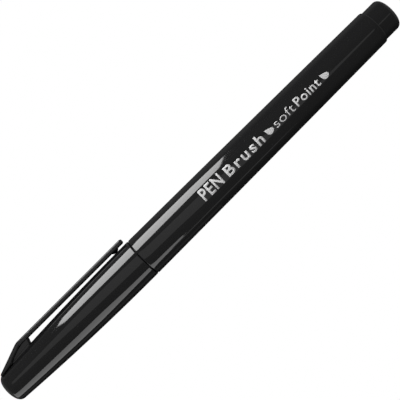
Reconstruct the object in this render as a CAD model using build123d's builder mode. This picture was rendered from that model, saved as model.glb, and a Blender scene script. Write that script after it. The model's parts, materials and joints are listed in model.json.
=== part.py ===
"""A capped brush pen, 140 mm long, lying on its side with its clip against the table.

Millimetres. +X runs along the pen's axis from the tail to the writing tip, and the origin is the
centre of the tail's flat end. The clip points towards -Y and down, at the angle where its outer
edge and the cap rest on one flat surface, which is where a dropped pen stops rolling.
"""

import math
import os

from build123d import *

os.makedirs("parts", exist_ok=True)

# Driving dimensions
PEN_LENGTH = 140.0
CAP_LENGTH = 49.35
TAIL_LENGTH = 5.5  # the part of the end plug that shows behind the barrel
BODY_RADIUS = 5.77  # at the seam between barrel and cap
BARREL_MID_RADIUS = 5.47
BARREL_TAIL_RADIUS = 5.08
TAIL_RADIUS = 4.69
CAP_END_RADIUS = 4.24
NECK_RADIUS = 4.64
CAP_BORE_RADIUS = 4.75
RESERVOIR_RADIUS = 3.4
NIB_RADIUS = 1.38
CLIP_HEIGHT = 7.62  # from the pen's axis to the clip's outer face
CLIP_THICKNESS = 1.31
CLIP_ROOT_WIDTH = 4.6
CLIP_TIP_WIDTH = 3.8

SEAM_X = PEN_LENGTH - CAP_LENGTH
CAP_MOUTH_X = SEAM_X + 0.05
FIT_GAP = 0.02  # between two pieces that are pressed together
FLEX_GAP = 0.05  # between the two halves of a piece that bends


def corner(section, x, radius):
    """The corner of a drawn outline nearest to a station on the axis and a radius."""
    return section.vertices().sort_by_distance((x, radius))[0]


# ---------------------------------------------------------------- outer curves of cap and barrel
CAP_CURVE_START = SEAM_X + 2.5
CAP_CURVE_END = PEN_LENGTH - 1.45
CAP_CROWN = 0.18  # how far the closed end bulges


def cap_curve_radius():
    """Radius of the long arc that leaves the cap's straight mouth without a corner."""
    run = CAP_CURVE_END - CAP_CURVE_START
    drop = BODY_RADIUS - CAP_END_RADIUS
    return (run**2 + drop**2) / (2 * drop)


def cap_radius_at(x):
    """The cap's outer radius at a station along the axis."""
    arc = cap_curve_radius()
    run = max(0.0, x - CAP_CURVE_START)
    return BODY_RADIUS - arc + math.sqrt(arc**2 - run**2)


def cap_outline(grow=0.0):
    """The cap's outer outline with the axis as its last edge: mouth, long curve, rounded end."""
    middle_x = (CAP_CURVE_START + CAP_CURVE_END) / 2
    rim_radius = CAP_END_RADIUS - 1.5
    crown_radius = (rim_radius**2 + CAP_CROWN**2) / (2 * CAP_CROWN)
    crown_angle = math.degrees(math.asin(rim_radius / crown_radius))
    mouth = (CAP_MOUTH_X, BODY_RADIUS + grow)
    straight_end = (CAP_CURVE_START, BODY_RADIUS + grow)
    curve_end = (CAP_CURVE_END, CAP_END_RADIUS + grow)
    face_rim = (PEN_LENGTH - CAP_CROWN, rim_radius)
    corner_middle = (PEN_LENGTH - CAP_CROWN - 0.39, CAP_END_RADIUS - 0.47 + grow)
    return [
        Line((CAP_MOUTH_X, 0), mouth),
        Line(mouth, straight_end),
        ThreePointArc(straight_end, (middle_x, cap_radius_at(middle_x) + grow), curve_end),
        ThreePointArc(curve_end, corner_middle, face_rim),
        CenterArc((PEN_LENGTH - crown_radius, 0), crown_radius, 0, crown_angle),
        Line((PEN_LENGTH, 0), (CAP_MOUTH_X, 0)),
    ]


# ---------------------------------------------------------------- the clip's outline and plane
ARM_UNDERSIDE = CLIP_HEIGHT - CLIP_THICKNESS
ARM_TIP_X = SEAM_X + 1.05
KNEE_X = 129.8
RAMP_FOOT_X = 138.27
RAMP_FOOT_HEIGHT = 4.55
EDGE_ROUNDING = 0.45


def clip_width_at(x):
    """The clip narrows evenly from its root to its tip."""
    share = (x - ARM_TIP_X) / (RAMP_FOOT_X - ARM_TIP_X)
    return CLIP_TIP_WIDTH + share * (CLIP_ROOT_WIDTH - CLIP_TIP_WIDTH)


def clip_angle_below_level():
    """The angle where the clip's rounded corner and the cap reach equally far down."""
    corner_out = CLIP_HEIGHT - EDGE_ROUNDING
    corner_across = clip_width_at(KNEE_X) / 2 - EDGE_ROUNDING
    reach = math.hypot(corner_out, corner_across)
    tilt = math.asin((BODY_RADIUS - EDGE_ROUNDING) / reach)
    return tilt - math.atan2(corner_across, corner_out)


CLIP_ANGLE = clip_angle_below_level()
CLIP_OUT = (0, -math.cos(CLIP_ANGLE), -math.sin(CLIP_ANGLE))
CLIP_ACROSS = (0, -CLIP_OUT[2], CLIP_OUT[1])
clip_side = Plane(origin=(0, 0, 0), x_dir=(1, 0, 0), z_dir=CLIP_ACROSS)
clip_plan = Plane(origin=(0, 0, 0), x_dir=(1, 0, 0), z_dir=CLIP_OUT)

# ---------------------------------------------------------------- barrel
PLUG_SEAT_RADIUS = 4.1
PLUG_SEAT_END = 14.0
FRONT_SEAT_RADIUS = 4.5
FRONT_SEAT_START = 77.0
BORE_RADIUS = 4.18

with BuildPart() as barrel:
    with BuildSketch(Plane.XZ) as barrel_section:
        with BuildLine():
            Line((TAIL_LENGTH, PLUG_SEAT_RADIUS), (TAIL_LENGTH, BARREL_TAIL_RADIUS))
            ThreePointArc(
                (TAIL_LENGTH, BARREL_TAIL_RADIUS),
                ((TAIL_LENGTH + SEAM_X) / 2, BARREL_MID_RADIUS),
                (SEAM_X, BODY_RADIUS),
            )
            Polyline(
                (SEAM_X, BODY_RADIUS),
                (SEAM_X, FRONT_SEAT_RADIUS),
                (FRONT_SEAT_START, FRONT_SEAT_RADIUS),
                (FRONT_SEAT_START - 1.0, BORE_RADIUS + 0.12),
                (PLUG_SEAT_END + 1.0, BORE_RADIUS),
                (PLUG_SEAT_END, PLUG_SEAT_RADIUS),
                (TAIL_LENGTH, PLUG_SEAT_RADIUS),
            )
        make_face()
        fillet(corner(barrel_section, TAIL_LENGTH, BARREL_TAIL_RADIUS), radius=0.45)
        fillet(corner(barrel_section, SEAM_X, BODY_RADIUS), radius=0.16)
    revolve(axis=Axis.X)
barrel.part.label = "barrel"
export_step(barrel.part, "parts/barrel.step")

# ---------------------------------------------------------------- end plug
PLUG_STEM_END = 12.6
PLUG_STEM_RADIUS = PLUG_SEAT_RADIUS - FIT_GAP
PLUG_BORE_RADIUS = 2.9
PLUG_FLOOR = 1.5
STOP_RIB_START = 1.0
STOP_RIB_END = PLUG_STEM_END + 0.9
STOP_RIB_WIDTH = 0.9

with BuildPart() as end_plug:
    with BuildSketch(Plane.XZ) as plug_section:
        with BuildLine():
            Polyline(
                (0, 0),
                (0, TAIL_RADIUS),
                (TAIL_LENGTH, TAIL_RADIUS),
                (TAIL_LENGTH, PLUG_STEM_RADIUS),
                (PLUG_STEM_END - 0.6, PLUG_STEM_RADIUS),
                (PLUG_STEM_END, PLUG_STEM_RADIUS - 0.3),
                (PLUG_STEM_END, PLUG_BORE_RADIUS),
                (PLUG_FLOOR + 0.7, PLUG_BORE_RADIUS - 0.2),
                (PLUG_FLOOR, PLUG_BORE_RADIUS - 0.9),
                (PLUG_FLOOR, 0),
                (0, 0),
            )
        make_face()
        fillet(corner(plug_section, 0, TAIL_RADIUS), radius=1.3)
    revolve(axis=Axis.X)
    # A cross of two ribs that grows out of the stem's wall and stands proud of it stops the
    # reservoir.
    with BuildSketch(Plane.YZ.offset(STOP_RIB_START)):
        rib_span = 2 * PLUG_BORE_RADIUS + 1.0
        Rectangle(rib_span, STOP_RIB_WIDTH)
        Rectangle(STOP_RIB_WIDTH, rib_span)
    extrude(amount=STOP_RIB_END - STOP_RIB_START)
end_plug.part.label = "end_plug"
export_step(end_plug.part, "parts/end_plug.step")

# ---------------------------------------------------------------- front section: neck, grip, nose
INSERT_START = 78.0
NECK_END = 99.8
BEAD_X = 96.4  # the low bead that the cap snaps over
BEAD_RADIUS = NECK_RADIUS + 0.07
GRIP_START_RADIUS = NECK_RADIUS - 0.3
GRIP_HOLLOW = 0.08  # how far the grip's cone is waisted
GRIP_END = 119.2
GROOVE_COUNT = 5
GROOVE_SPACING = 1.1
GROOVE_RADIUS = 0.22
NOSE_RADIUS = 2.95
NOSE_END = 122.4
HOLDER_BORE_RADIUS = 2.0
RESERVOIR_NEST_RADIUS = 3.72
NEST_END = 86.6

with BuildPart() as front_section:
    with BuildSketch(Plane.XZ):
        with BuildLine():
            Polyline(
                (INSERT_START, RESERVOIR_NEST_RADIUS),
                (INSERT_START, FRONT_SEAT_RADIUS - 0.3),
                (INSERT_START + 0.5, FRONT_SEAT_RADIUS - FIT_GAP),
                (SEAM_X + FIT_GAP, FRONT_SEAT_RADIUS - FIT_GAP),
                (SEAM_X + FIT_GAP, NECK_RADIUS),
                (BEAD_X - 0.5, NECK_RADIUS),
                (BEAD_X - 0.2, BEAD_RADIUS),
                (BEAD_X + 0.2, BEAD_RADIUS),
                (BEAD_X + 0.5, NECK_RADIUS),
                (NECK_END - 0.3, NECK_RADIUS),
                (NECK_END, GRIP_START_RADIUS),
            )
            grip_middle_radius = (GRIP_START_RADIUS + NOSE_RADIUS) / 2 - GRIP_HOLLOW
            ThreePointArc(
                (NECK_END, GRIP_START_RADIUS),
                ((NECK_END + GRIP_END) / 2, grip_middle_radius),
                (GRIP_END, NOSE_RADIUS),
            )
            Polyline(
                (GRIP_END, NOSE_RADIUS),
                (NOSE_END - 0.7, NOSE_RADIUS),
                (NOSE_END, NOSE_RADIUS - 0.55),
                (NOSE_END, HOLDER_BORE_RADIUS),
                (NEST_END + 4.0, HOLDER_BORE_RADIUS),
                (NEST_END, RESERVOIR_NEST_RADIUS - 0.9),
                (NEST_END, RESERVOIR_NEST_RADIUS),
                (INSERT_START, RESERVOIR_NEST_RADIUS),
            )
        make_face()
        # Fine grooves round the grip, behind where the fingers close.
        for groove in range(GROOVE_COUNT):
            groove_x = NECK_END + GROOVE_SPACING * (groove + 2)
            along = (groove_x - NECK_END) / (GRIP_END - NECK_END)
            surface = GRIP_START_RADIUS * (1 - along) + NOSE_RADIUS * along
            with Locations((groove_x, surface)):
                Circle(GROOVE_RADIUS, mode=Mode.SUBTRACT)
    revolve(axis=Axis.X)
front_section.part.label = "front_section"
export_step(front_section.part, "parts/front_section.step")

# ---------------------------------------------------------------- nib holder
HOLDER_START = 106.0
HOLDER_END = 124.4
HOLDER_RADIUS = HOLDER_BORE_RADIUS - FIT_GAP
NIB_BORE_RADIUS = NIB_RADIUS + FIT_GAP

with BuildPart() as nib_holder:
    with BuildSketch(Plane.XZ):
        with BuildLine():
            Polyline(
                (HOLDER_START, NIB_BORE_RADIUS),
                (HOLDER_START, HOLDER_RADIUS - 0.2),
                (HOLDER_START + 0.4, HOLDER_RADIUS),
                (NOSE_END + 0.5, HOLDER_RADIUS),
                (HOLDER_END, HOLDER_RADIUS - 0.28),
                (HOLDER_END, NIB_BORE_RADIUS),
                (HOLDER_START, NIB_BORE_RADIUS),
            )
        make_face()
    revolve(axis=Axis.X)
    # Two air grooves along the holder let air reach the reservoir as ink leaves it.
    with BuildSketch(Plane.YZ.offset(HOLDER_START)):
        with PolarLocations(HOLDER_RADIUS, 2, start_angle=90):
            Rectangle(0.3, 0.5)
    extrude(amount=HOLDER_END - HOLDER_START, mode=Mode.SUBTRACT)
nib_holder.part.label = "nib_holder"
export_step(nib_holder.part, "parts/nib_holder.step")

# ---------------------------------------------------------------- nib: shank held, brush tip bends
SHANK_START = 78.5
FLEX_X = HOLDER_END + 0.3  # centre of the bend, just in front of the holder
TIP_X = 132.2
TIP_ROUNDING = 0.22

with BuildPart() as nib_shank:
    with BuildSketch(Plane.XZ):
        with BuildLine():
            Polyline(
                (SHANK_START, 0),
                (SHANK_START + 1.6, NIB_RADIUS),
                (FLEX_X - 0.15, NIB_RADIUS),
                (FLEX_X - 0.15, 0),
                (SHANK_START, 0),
            )
        make_face()
    revolve(axis=Axis.X)
    # A hollow in its front end takes the ball behind the brush tip.
    with BuildSketch(Plane.XZ):
        with BuildLine():
            socket = NIB_RADIUS + FLEX_GAP
            CenterArc((FLEX_X, 0), socket, 0, 180)
            Line((FLEX_X - socket, 0), (FLEX_X + socket, 0))
        make_face()
    revolve(axis=Axis.X, mode=Mode.SUBTRACT)
nib_shank.part.label = "nib_shank"
export_step(nib_shank.part, "parts/nib_shank.step")

with BuildPart() as brush_tip:
    with BuildSketch(Plane.XZ):
        with BuildLine():
            belly = (FLEX_X + 1.6, NIB_RADIUS + 0.05)
            shoulder = (FLEX_X, NIB_RADIUS)
            point = (TIP_X - TIP_ROUNDING, TIP_ROUNDING)
            CenterArc((FLEX_X, 0), NIB_RADIUS, 90, 90)
            Spline(shoulder, belly, (FLEX_X + 4.6, 0.92), point, tangents=((1, 0), (1, -0.34)))
            CenterArc((TIP_X - TIP_ROUNDING, 0), TIP_ROUNDING, 0, 90)
            Line((TIP_X, 0), (FLEX_X - NIB_RADIUS, 0))
        make_face()
    revolve(axis=Axis.X)
brush_tip.part.label = "brush_tip"
export_step(brush_tip.part, "parts/brush_tip.step")

# ---------------------------------------------------------------- ink reservoir
RESERVOIR_START = STOP_RIB_END + 0.1
RESERVOIR_END = NEST_END - 0.2
FILM_THICKNESS = 0.1
FILM_RADIUS = RESERVOIR_RADIUS + FIT_GAP / 2 + FILM_THICKNESS
FILM_OVERHANG = 0.05

with BuildPart() as reservoir_core:
    with BuildSketch(Plane.YZ.offset(RESERVOIR_START)):
        Circle(RESERVOIR_RADIUS)
    extrude(amount=RESERVOIR_END - RESERVOIR_START)
    chamfer(reservoir_core.edges().filter_by(GeomType.CIRCLE), length=0.25)
    # The nib's pointed shank is pushed into the fibres and leaves its own shape in them.
    with BuildSketch(Plane.XZ):
        with BuildLine():
            Polyline(
                (SHANK_START - 0.1, 0),
                (SHANK_START + 1.6, NIB_RADIUS + FIT_GAP),
                (RESERVOIR_END, NIB_RADIUS + FIT_GAP),
                (RESERVOIR_END, 0),
                (SHANK_START - 0.1, 0),
            )
        make_face()
    revolve(axis=Axis.X, mode=Mode.SUBTRACT)
reservoir_core.part.label = "reservoir_core"
export_step(reservoir_core.part, "parts/reservoir_core.step")

with BuildPart() as reservoir_film:
    with BuildSketch(Plane.YZ.offset(RESERVOIR_START - FILM_OVERHANG)):
        Circle(FILM_RADIUS)
        Circle(FILM_RADIUS - FILM_THICKNESS, mode=Mode.SUBTRACT)
    extrude(amount=RESERVOIR_END - RESERVOIR_START + 2 * FILM_OVERHANG)
reservoir_film.part.label = "reservoir_film"
export_step(reservoir_film.part, "parts/reservoir_film.step")

BREATHER_RADIUS = 0.27
BREATHER_OFFSET = FILM_RADIUS + BREATHER_RADIUS + 0.05
BREATHER_START = RESERVOIR_START + 1.6
BREATHER_END = FRONT_SEAT_START - 1.5

with BuildPart() as breather_tube:
    with BuildSketch(Plane.YZ.offset(BREATHER_START)):
        with Locations((0, BREATHER_OFFSET)):
            Circle(BREATHER_RADIUS)
            Circle(0.6 * BREATHER_RADIUS, mode=Mode.SUBTRACT)
    extrude(amount=BREATHER_END - BREATHER_START)
breather_tube.part.label = "breather_tube"
export_step(breather_tube.part, "parts/breather_tube.step")

# ---------------------------------------------------------------- cap shell
CAP_BORE_END = 101.6
LINER_SEAT_RADIUS = 3.52
LINER_SEAT_START = 127.0
CAVITY_END = 138.2
FOOT_MIDDLE = 131.8
FOOT_LENGTH = 5.2
FOOT_WIDTH = 2.0
FOOT_BOTTOM = LINER_SEAT_RADIUS + 0.12
FOOT_TOP = 5.0  # inside the web, above the cap's surface

with BuildPart() as cap_shell:
    with BuildSketch(Plane.XZ) as cap_section:
        with BuildLine():
            for edge in cap_outline():
                add(edge)
        make_face()
        fillet(corner(cap_section, CAP_MOUTH_X, BODY_RADIUS), radius=0.16)
    revolve(axis=Axis.X)
    with BuildSketch(Plane.XZ):
        with BuildLine():
            Polyline(
                (CAP_MOUTH_X, 0),
                (CAP_MOUTH_X, CAP_BORE_RADIUS + 0.2),
                (CAP_MOUTH_X + 0.5, CAP_BORE_RADIUS),
                (CAP_BORE_END, CAP_BORE_RADIUS),
                (CAP_BORE_END + 1.2, CAP_BORE_RADIUS - 0.2),
                (115.0, 4.22),
                (LINER_SEAT_START, LINER_SEAT_RADIUS),
                (CAVITY_END - 0.4, LINER_SEAT_RADIUS),
                (CAVITY_END, LINER_SEAT_RADIUS - 0.4),
                (CAVITY_END, 0),
                (CAP_MOUTH_X, 0),
            )
        make_face()
    revolve(axis=Axis.X, mode=Mode.SUBTRACT)
    # The slot that the clip's foot is pressed into.
    with BuildSketch(clip_side):
        with Locations((FOOT_MIDDLE, (FOOT_BOTTOM + FOOT_TOP) / 2)):
            Rectangle(FOOT_LENGTH, FOOT_TOP - FOOT_BOTTOM)
    extrude(amount=FOOT_WIDTH / 2, both=True, mode=Mode.SUBTRACT)
cap_shell.part.label = "cap_shell"
export_step(cap_shell.part, "parts/cap_shell.step")

# ---------------------------------------------------------------- inner cap: seals round the nose
LINER_MOUTH = 119.9
LINER_BORE_RADIUS = NOSE_RADIUS + 0.08
LINER_RADIUS = LINER_SEAT_RADIUS - FIT_GAP
LINER_FLOOR = 136.8

with BuildPart() as inner_cap:
    with BuildSketch(Plane.XZ):
        with BuildLine():
            Polyline(
                (LINER_MOUTH, LINER_BORE_RADIUS + 0.15),
                (LINER_MOUTH, LINER_RADIUS - 0.08),
                (LINER_MOUTH + 0.3, LINER_RADIUS),
                (CAVITY_END - 0.5, LINER_RADIUS),
                (CAVITY_END - FIT_GAP, LINER_RADIUS - 0.48),
                (CAVITY_END - FIT_GAP, 0),
                (LINER_FLOOR, 0),
                (LINER_FLOOR, LINER_BORE_RADIUS - 0.3),
                (LINER_FLOOR - 0.3, LINER_BORE_RADIUS),
                (LINER_MOUTH + 0.4, LINER_BORE_RADIUS),
                (LINER_MOUTH, LINER_BORE_RADIUS + 0.15),
            )
        make_face()
    revolve(axis=Axis.X)
inner_cap.part.label = "inner_cap"
export_step(inner_cap.part, "parts/inner_cap.step")

# ---------------------------------------------------------------- clip
FLEX_CLIP_X = 126.1
PIVOT_HEIGHT = CLIP_HEIGHT - CLIP_THICKNESS / 2
KNEE_ROUNDING = 4.0
WEB_WIDTH = 2.7
WEB_START = FLEX_CLIP_X + 0.78
BUMP_X = 94.8
BUMP_HALF_LENGTH = 1.07
BUMP_DEPTH = ARM_UNDERSIDE - BODY_RADIUS - 0.06
BUMP_RADIUS = (BUMP_HALF_LENGTH**2 + BUMP_DEPTH**2) / (2 * BUMP_DEPTH)
BUMP_ARC = math.degrees(math.asin(BUMP_HALF_LENGTH / BUMP_RADIUS))

RAMP_ANGLE = math.atan2(CLIP_HEIGHT - RAMP_FOOT_HEIGHT, RAMP_FOOT_X - KNEE_X)
INNER_KNEE_X = KNEE_X - CLIP_THICKNESS * math.tan(RAMP_ANGLE / 2)
# The ramp's underside meets the cap's surface here.
RAMP_UNDER_X = RAMP_FOOT_X - CLIP_THICKNESS * math.sin(RAMP_ANGLE)
RAMP_UNDER_HEIGHT = RAMP_FOOT_HEIGHT - CLIP_THICKNESS * math.cos(RAMP_ANGLE)

# The cap's outside with a hair's breadth added, which trims what stands on it.
with BuildPart() as cap_outside:
    with BuildSketch(Plane.XZ):
        with BuildLine():
            for edge in cap_outline(grow=0.005):
                add(edge)
        make_face()
    revolve(axis=Axis.X)

with BuildPart() as clip_root:
    # The ramp, from the bend to the closed end of the cap.
    with BuildSketch(clip_side):
        with BuildLine():
            Polyline(
                (FLEX_CLIP_X, CLIP_HEIGHT),
                (KNEE_X, CLIP_HEIGHT),
                (RAMP_FOOT_X, RAMP_FOOT_HEIGHT),
                (RAMP_UNDER_X, RAMP_UNDER_HEIGHT),
                (INNER_KNEE_X, ARM_UNDERSIDE),
                (FLEX_CLIP_X, ARM_UNDERSIDE),
                (FLEX_CLIP_X, CLIP_HEIGHT),
            )
        make_face()
    extrude(amount=CLIP_ROOT_WIDTH, both=True)
    edges_across = clip_root.edges().filter_by(Axis((0, 0, 0), CLIP_ACROSS))
    knee_point = clip_side.from_local_coords((KNEE_X, CLIP_HEIGHT, 0))
    fillet(edges_across.sort_by_distance(knee_point)[0], radius=KNEE_ROUNDING)
    with BuildSketch(clip_plan):
        with BuildLine():
            near, far = clip_width_at(FLEX_CLIP_X) / 2, CLIP_ROOT_WIDTH / 2
            Polyline(
                (FLEX_CLIP_X, -near),
                (RAMP_FOOT_X + 1, -far),
                (RAMP_FOOT_X + 1, far),
                (FLEX_CLIP_X, near),
                (FLEX_CLIP_X, -near),
            )
        make_face()
    extrude(amount=20, mode=Mode.INTERSECT)
    top_edges = (
        clip_root.faces()
        .filter_by(lambda f: f.normal_at().dot(Vector(CLIP_OUT)) > 0.5)
        .edges()
        .filter_by(lambda e: abs(e.tangent_at(0.5).dot(Vector(CLIP_ACROSS))) < 0.5)
    )
    fillet(top_edges, radius=EDGE_ROUNDING)
    # Seat for the arm's rounded end.
    with BuildSketch(clip_side):
        with Locations((FLEX_CLIP_X, PIVOT_HEIGHT)):
            Circle(CLIP_THICKNESS / 2 + FLEX_GAP)
    extrude(amount=CLIP_ROOT_WIDTH, both=True, mode=Mode.SUBTRACT)
    # The narrower web under the ramp stands on the cap, and its foot fills the slot.
    with BuildSketch(clip_side):
        with BuildLine():
            Polyline(
                (WEB_START, ARM_UNDERSIDE + 0.3),
                (INNER_KNEE_X, ARM_UNDERSIDE + 0.3),
                (RAMP_UNDER_X - 0.5, RAMP_UNDER_HEIGHT + 0.4),
                (RAMP_UNDER_X - 0.5, CAP_END_RADIUS - 0.8),
                (WEB_START + 0.4, CAP_END_RADIUS - 0.8),
                (WEB_START, ARM_UNDERSIDE + 0.3),
            )
        make_face()
    extrude(amount=WEB_WIDTH / 2, both=True)
    add(cap_outside.part, mode=Mode.SUBTRACT)
    with BuildSketch(clip_side):
        with Locations((FOOT_MIDDLE, (FOOT_BOTTOM + FOOT_TOP) / 2)):
            Rectangle(FOOT_LENGTH - 2 * FIT_GAP, FOOT_TOP - FOOT_BOTTOM - 2 * FIT_GAP)
    extrude(amount=FOOT_WIDTH / 2 - FIT_GAP, both=True)
clip_root.part.label = "clip_root"
export_step(clip_root.part, "parts/clip_root.step")

with BuildPart() as clip_arm:
    with BuildSketch(clip_side):
        with BuildLine():
            Polyline(
                (FLEX_CLIP_X, CLIP_HEIGHT),
                (ARM_TIP_X, CLIP_HEIGHT),
                (ARM_TIP_X, ARM_UNDERSIDE),
                (FLEX_CLIP_X, ARM_UNDERSIDE),
                (FLEX_CLIP_X, CLIP_HEIGHT),
            )
        make_face()
        with Locations((FLEX_CLIP_X, PIVOT_HEIGHT)):
            Circle(CLIP_THICKNESS / 2)
    extrude(amount=CLIP_ROOT_WIDTH, both=True)
    with BuildSketch(clip_plan):
        with BuildLine():
            tip, root = CLIP_TIP_WIDTH / 2, clip_width_at(FLEX_CLIP_X) / 2
            nose_x = ARM_TIP_X + tip
            Polyline(
                (nose_x, tip),
                (FLEX_CLIP_X + 1, root),
                (FLEX_CLIP_X + 1, -root),
                (nose_x, -tip),
            )
            ThreePointArc((nose_x, -tip), (ARM_TIP_X, 0), (nose_x, tip))
        make_face()
    extrude(amount=20, mode=Mode.INTERSECT)
    # The rounding runs on round the hinged end, so the inner edges get it too.
    outer_face = clip_arm.faces().sort_by(Axis((0, 0, 0), CLIP_OUT))[-1]
    fillet(outer_face.edges().filter_by(Axis((0, 0, 0), CLIP_ACROSS), reverse=True), EDGE_ROUNDING)
    # The round bump that grips a pocket's edge against the cap.
    with BuildSketch(clip_side):
        with BuildLine():
            bump_centre = (BUMP_X, ARM_UNDERSIDE - BUMP_DEPTH + BUMP_RADIUS)
            bump_bottom = (BUMP_X, ARM_UNDERSIDE - BUMP_DEPTH)
            bump_rim = (BUMP_X + BUMP_HALF_LENGTH, ARM_UNDERSIDE)
            CenterArc(bump_centre, BUMP_RADIUS, -90, BUMP_ARC)
            Polyline(
                bump_rim,
                (bump_rim[0], PIVOT_HEIGHT),
                (BUMP_X, PIVOT_HEIGHT),
                bump_bottom,
            )
        make_face()
    revolve(axis=Axis(clip_side.from_local_coords((BUMP_X, 0, 0)), CLIP_OUT))
clip_arm.part.label = "clip_arm"
export_step(clip_arm.part, "parts/clip_arm.step")
print("clip angle below level", round(math.degrees(CLIP_ANGLE), 3))
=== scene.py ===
import json
import math

import bpy
from mathutils import Matrix, Vector


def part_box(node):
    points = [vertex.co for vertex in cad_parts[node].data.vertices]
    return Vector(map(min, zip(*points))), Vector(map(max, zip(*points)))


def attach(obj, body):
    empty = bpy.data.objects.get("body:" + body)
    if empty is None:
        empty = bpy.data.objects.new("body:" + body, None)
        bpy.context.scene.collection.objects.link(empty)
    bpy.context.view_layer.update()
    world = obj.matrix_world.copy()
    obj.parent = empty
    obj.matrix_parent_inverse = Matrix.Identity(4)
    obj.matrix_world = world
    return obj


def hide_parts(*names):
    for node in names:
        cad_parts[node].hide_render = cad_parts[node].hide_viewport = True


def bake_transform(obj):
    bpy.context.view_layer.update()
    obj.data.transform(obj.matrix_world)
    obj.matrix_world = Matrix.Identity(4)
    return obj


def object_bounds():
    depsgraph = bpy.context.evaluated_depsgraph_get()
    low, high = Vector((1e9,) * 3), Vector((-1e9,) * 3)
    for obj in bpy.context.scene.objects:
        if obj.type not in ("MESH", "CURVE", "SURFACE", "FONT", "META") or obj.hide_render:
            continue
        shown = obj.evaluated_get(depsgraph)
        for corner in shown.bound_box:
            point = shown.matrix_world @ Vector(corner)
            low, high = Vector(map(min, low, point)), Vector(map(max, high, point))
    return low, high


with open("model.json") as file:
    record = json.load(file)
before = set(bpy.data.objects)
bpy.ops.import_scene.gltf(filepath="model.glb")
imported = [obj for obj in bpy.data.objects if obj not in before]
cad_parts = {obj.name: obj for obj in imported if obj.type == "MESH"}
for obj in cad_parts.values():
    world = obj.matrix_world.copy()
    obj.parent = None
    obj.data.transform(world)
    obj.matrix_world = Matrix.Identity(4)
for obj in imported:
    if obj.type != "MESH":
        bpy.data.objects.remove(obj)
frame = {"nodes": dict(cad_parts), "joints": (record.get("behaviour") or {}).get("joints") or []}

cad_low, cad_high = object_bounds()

# ------------------------------------------------------------------ camera, floor and studio light
# The pen is seen from straight above its printed side, lying corner to corner with the clip to the
# upper left. Long soft boxes along both sides give its gloss two clean streaks, and dimmer, thinner
# ones draw the faint lines beside them.

MM = 0.001
joints = {joint["name"]: joint for joint in frame["joints"]}
print_side = Vector(joints["clip_flex"]["axis"]).normalized()
tail_way = Vector((-1, 0, 0))
clip_side = print_side.cross(tail_way)

PEN_TILT = math.radians(44.94)
CAMERA_DISTANCE = 209.5 * MM
CAMERA_MIDDLE = 69.6 * MM
CAMERA_ASIDE = 0.07 * MM  # towards the clip

bpy.ops.object.select_all(action="DESELECT")
bpy.ops.object.camera_add()
camera = bpy.context.object
camera.name = "studio_camera"
camera.data.lens = 72
camera.data.sensor_width = 36
camera.data.clip_start = 0.005
picture_right = math.cos(PEN_TILT) * tail_way - math.sin(PEN_TILT) * clip_side
picture_up = math.sin(PEN_TILT) * tail_way + math.cos(PEN_TILT) * clip_side
camera_turn = Matrix((picture_right, picture_up, print_side)).transposed().to_4x4()
camera_place = (
    Vector((CAMERA_MIDDLE, 0, 0)) + CAMERA_ASIDE * clip_side + CAMERA_DISTANCE * print_side
)
camera.matrix_world = Matrix.Translation(camera_place) @ camera_turn
bpy.context.scene.camera = camera
bpy.context.scene.view_settings.view_transform = "Standard"


def new_material(name):
    """An empty node material with its output."""
    material = bpy.data.materials.new(name)
    material.use_nodes = True
    material.node_tree.nodes.clear()
    return material, material.node_tree.nodes, material.node_tree.links


FLOOR_SIZE = 3.0
bpy.ops.mesh.primitive_plane_add(
    size=FLOOR_SIZE, location=(CAMERA_MIDDLE, 0, cad_low.z)
)
floor = bpy.context.object
floor.name = "studio_floor"
floor_white, nodes, links = new_material("floor_white")
floor_glow = nodes.new("ShaderNodeEmission")
floor_glow.inputs["Color"].default_value = (1, 1, 1, 1)
floor_output = nodes.new("ShaderNodeOutputMaterial")
links.new(floor_glow.outputs[0], floor_output.inputs["Surface"])
floor.data.materials.append(floor_white)
floor.visible_glossy = False
floor.visible_diffuse = False
floor.visible_transmission = False
floor.visible_shadow = False

LAMP_REACH = 300.0  # from the pen's axis to each soft box, in millimetres


def soft_box(name, angle, glow, outline):
    """A shaped light panel that faces the pen; its outline is (along the pen, across) in mm."""
    turn = math.radians(angle)
    facing = math.cos(turn) * print_side + math.sin(turn) * clip_side
    across = math.cos(turn) * clip_side - math.sin(turn) * print_side
    corners = [
        (LAMP_REACH * facing + side * across + Vector((along, 0, 0))) * MM
        for along, side in outline
    ]
    mesh = bpy.data.meshes.new(name)
    mesh.from_pydata(corners, [], [tuple(range(len(corners)))])
    panel = bpy.data.objects.new(name, mesh)
    bpy.context.scene.collection.objects.link(panel)
    material, nodes, links = new_material(name + "_light")
    lamp = nodes.new("ShaderNodeEmission")
    lamp.inputs["Strength"].default_value = glow
    output = nodes.new("ShaderNodeOutputMaterial")
    links.new(lamp.outputs[0], output.inputs["Surface"])
    mesh.materials.append(material)
    panel.visible_camera = False
    panel.visible_shadow = False
    return panel


soft_box(
    "key_soft_box", 72, 9.0,
    ((208, -20), (200, 60), (177, 78), (144, 90), (106, 104), (66, 103), (36, 68),
     (42, -109), (66, -114), (106, -130), (147, -138), (181, -121), (206, -107)),
)
soft_box(
    "low_soft_box", -74, 2.45,
    ((520, -190), (520, 190), (280, 105), (180, 105), (143, 65), (104, 48), (90, 29), (90, -34),
     (104, -46), (143, -68), (180, -105), (280, -105)),
)
soft_box(
    "ceiling_reflector", 5, 0.56,
    ((290, 128), (185, 153), (147, 146), (91, 99), (65, 86), (28, 16), (-10, -26), (-63, -68),
     (-90, -75), (-108, -80), (-108, -110), (-69, -135), (-18, -171), (22, -207), (65, -194),
     (92, -144), (145, -111), (179, -83), (221, -26), (280, 47)),
)
soft_box("low_edge_strip", -81.5, 0.55, ((-14, 0), (12, 14), (100, 15), (100, -15), (12, -14)))
soft_box("cap_low_strip", -114, 0.11, ((60, -50), (60, 50), (520, 50), (520, -50)))

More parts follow.
